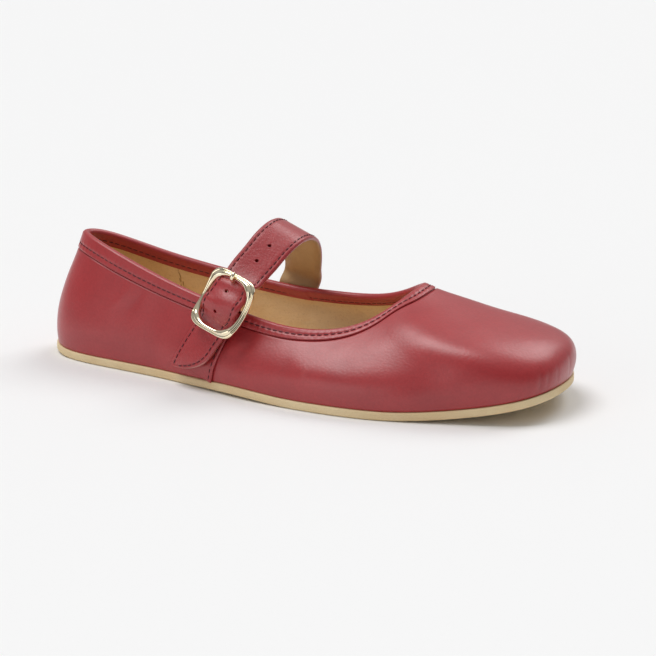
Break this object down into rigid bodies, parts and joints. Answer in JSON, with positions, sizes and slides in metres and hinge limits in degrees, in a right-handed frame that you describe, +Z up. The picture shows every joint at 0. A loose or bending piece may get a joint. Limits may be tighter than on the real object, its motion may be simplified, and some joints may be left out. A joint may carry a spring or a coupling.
{
  "type": "mary jane shoe",
  "caption": "Flat red leather mary jane shoe for the right foot, with a rounded wide toe, a folded collar binding, a buckled instep strap and a thin tan rubber sole.",
  "frame": {"origin": "on the ground under the middle of the shoe's bounding box", "axes": "+X to the toe, +Y to the inner (medial) side, +Z up"},
  "size_m": [0.2524, 0.0968, 0.0715],
  "materials": {
    "red_leather": "satin",
    "tan_leather": "matte",
    "tan_rubber": "matte",
    "pale_gold": "polished"
  },
  "bodies": {
    "root": {"outsole": "tan_rubber", "insole": "tan_leather", "upper": "red_leather", "topline_binding": "red_leather", "strap": "red_leather", "buckle_frame": "pale_gold", "buckle_prong": "pale_gold", "buckle_tab": "red_leather"}
  },
  "joints": []
}
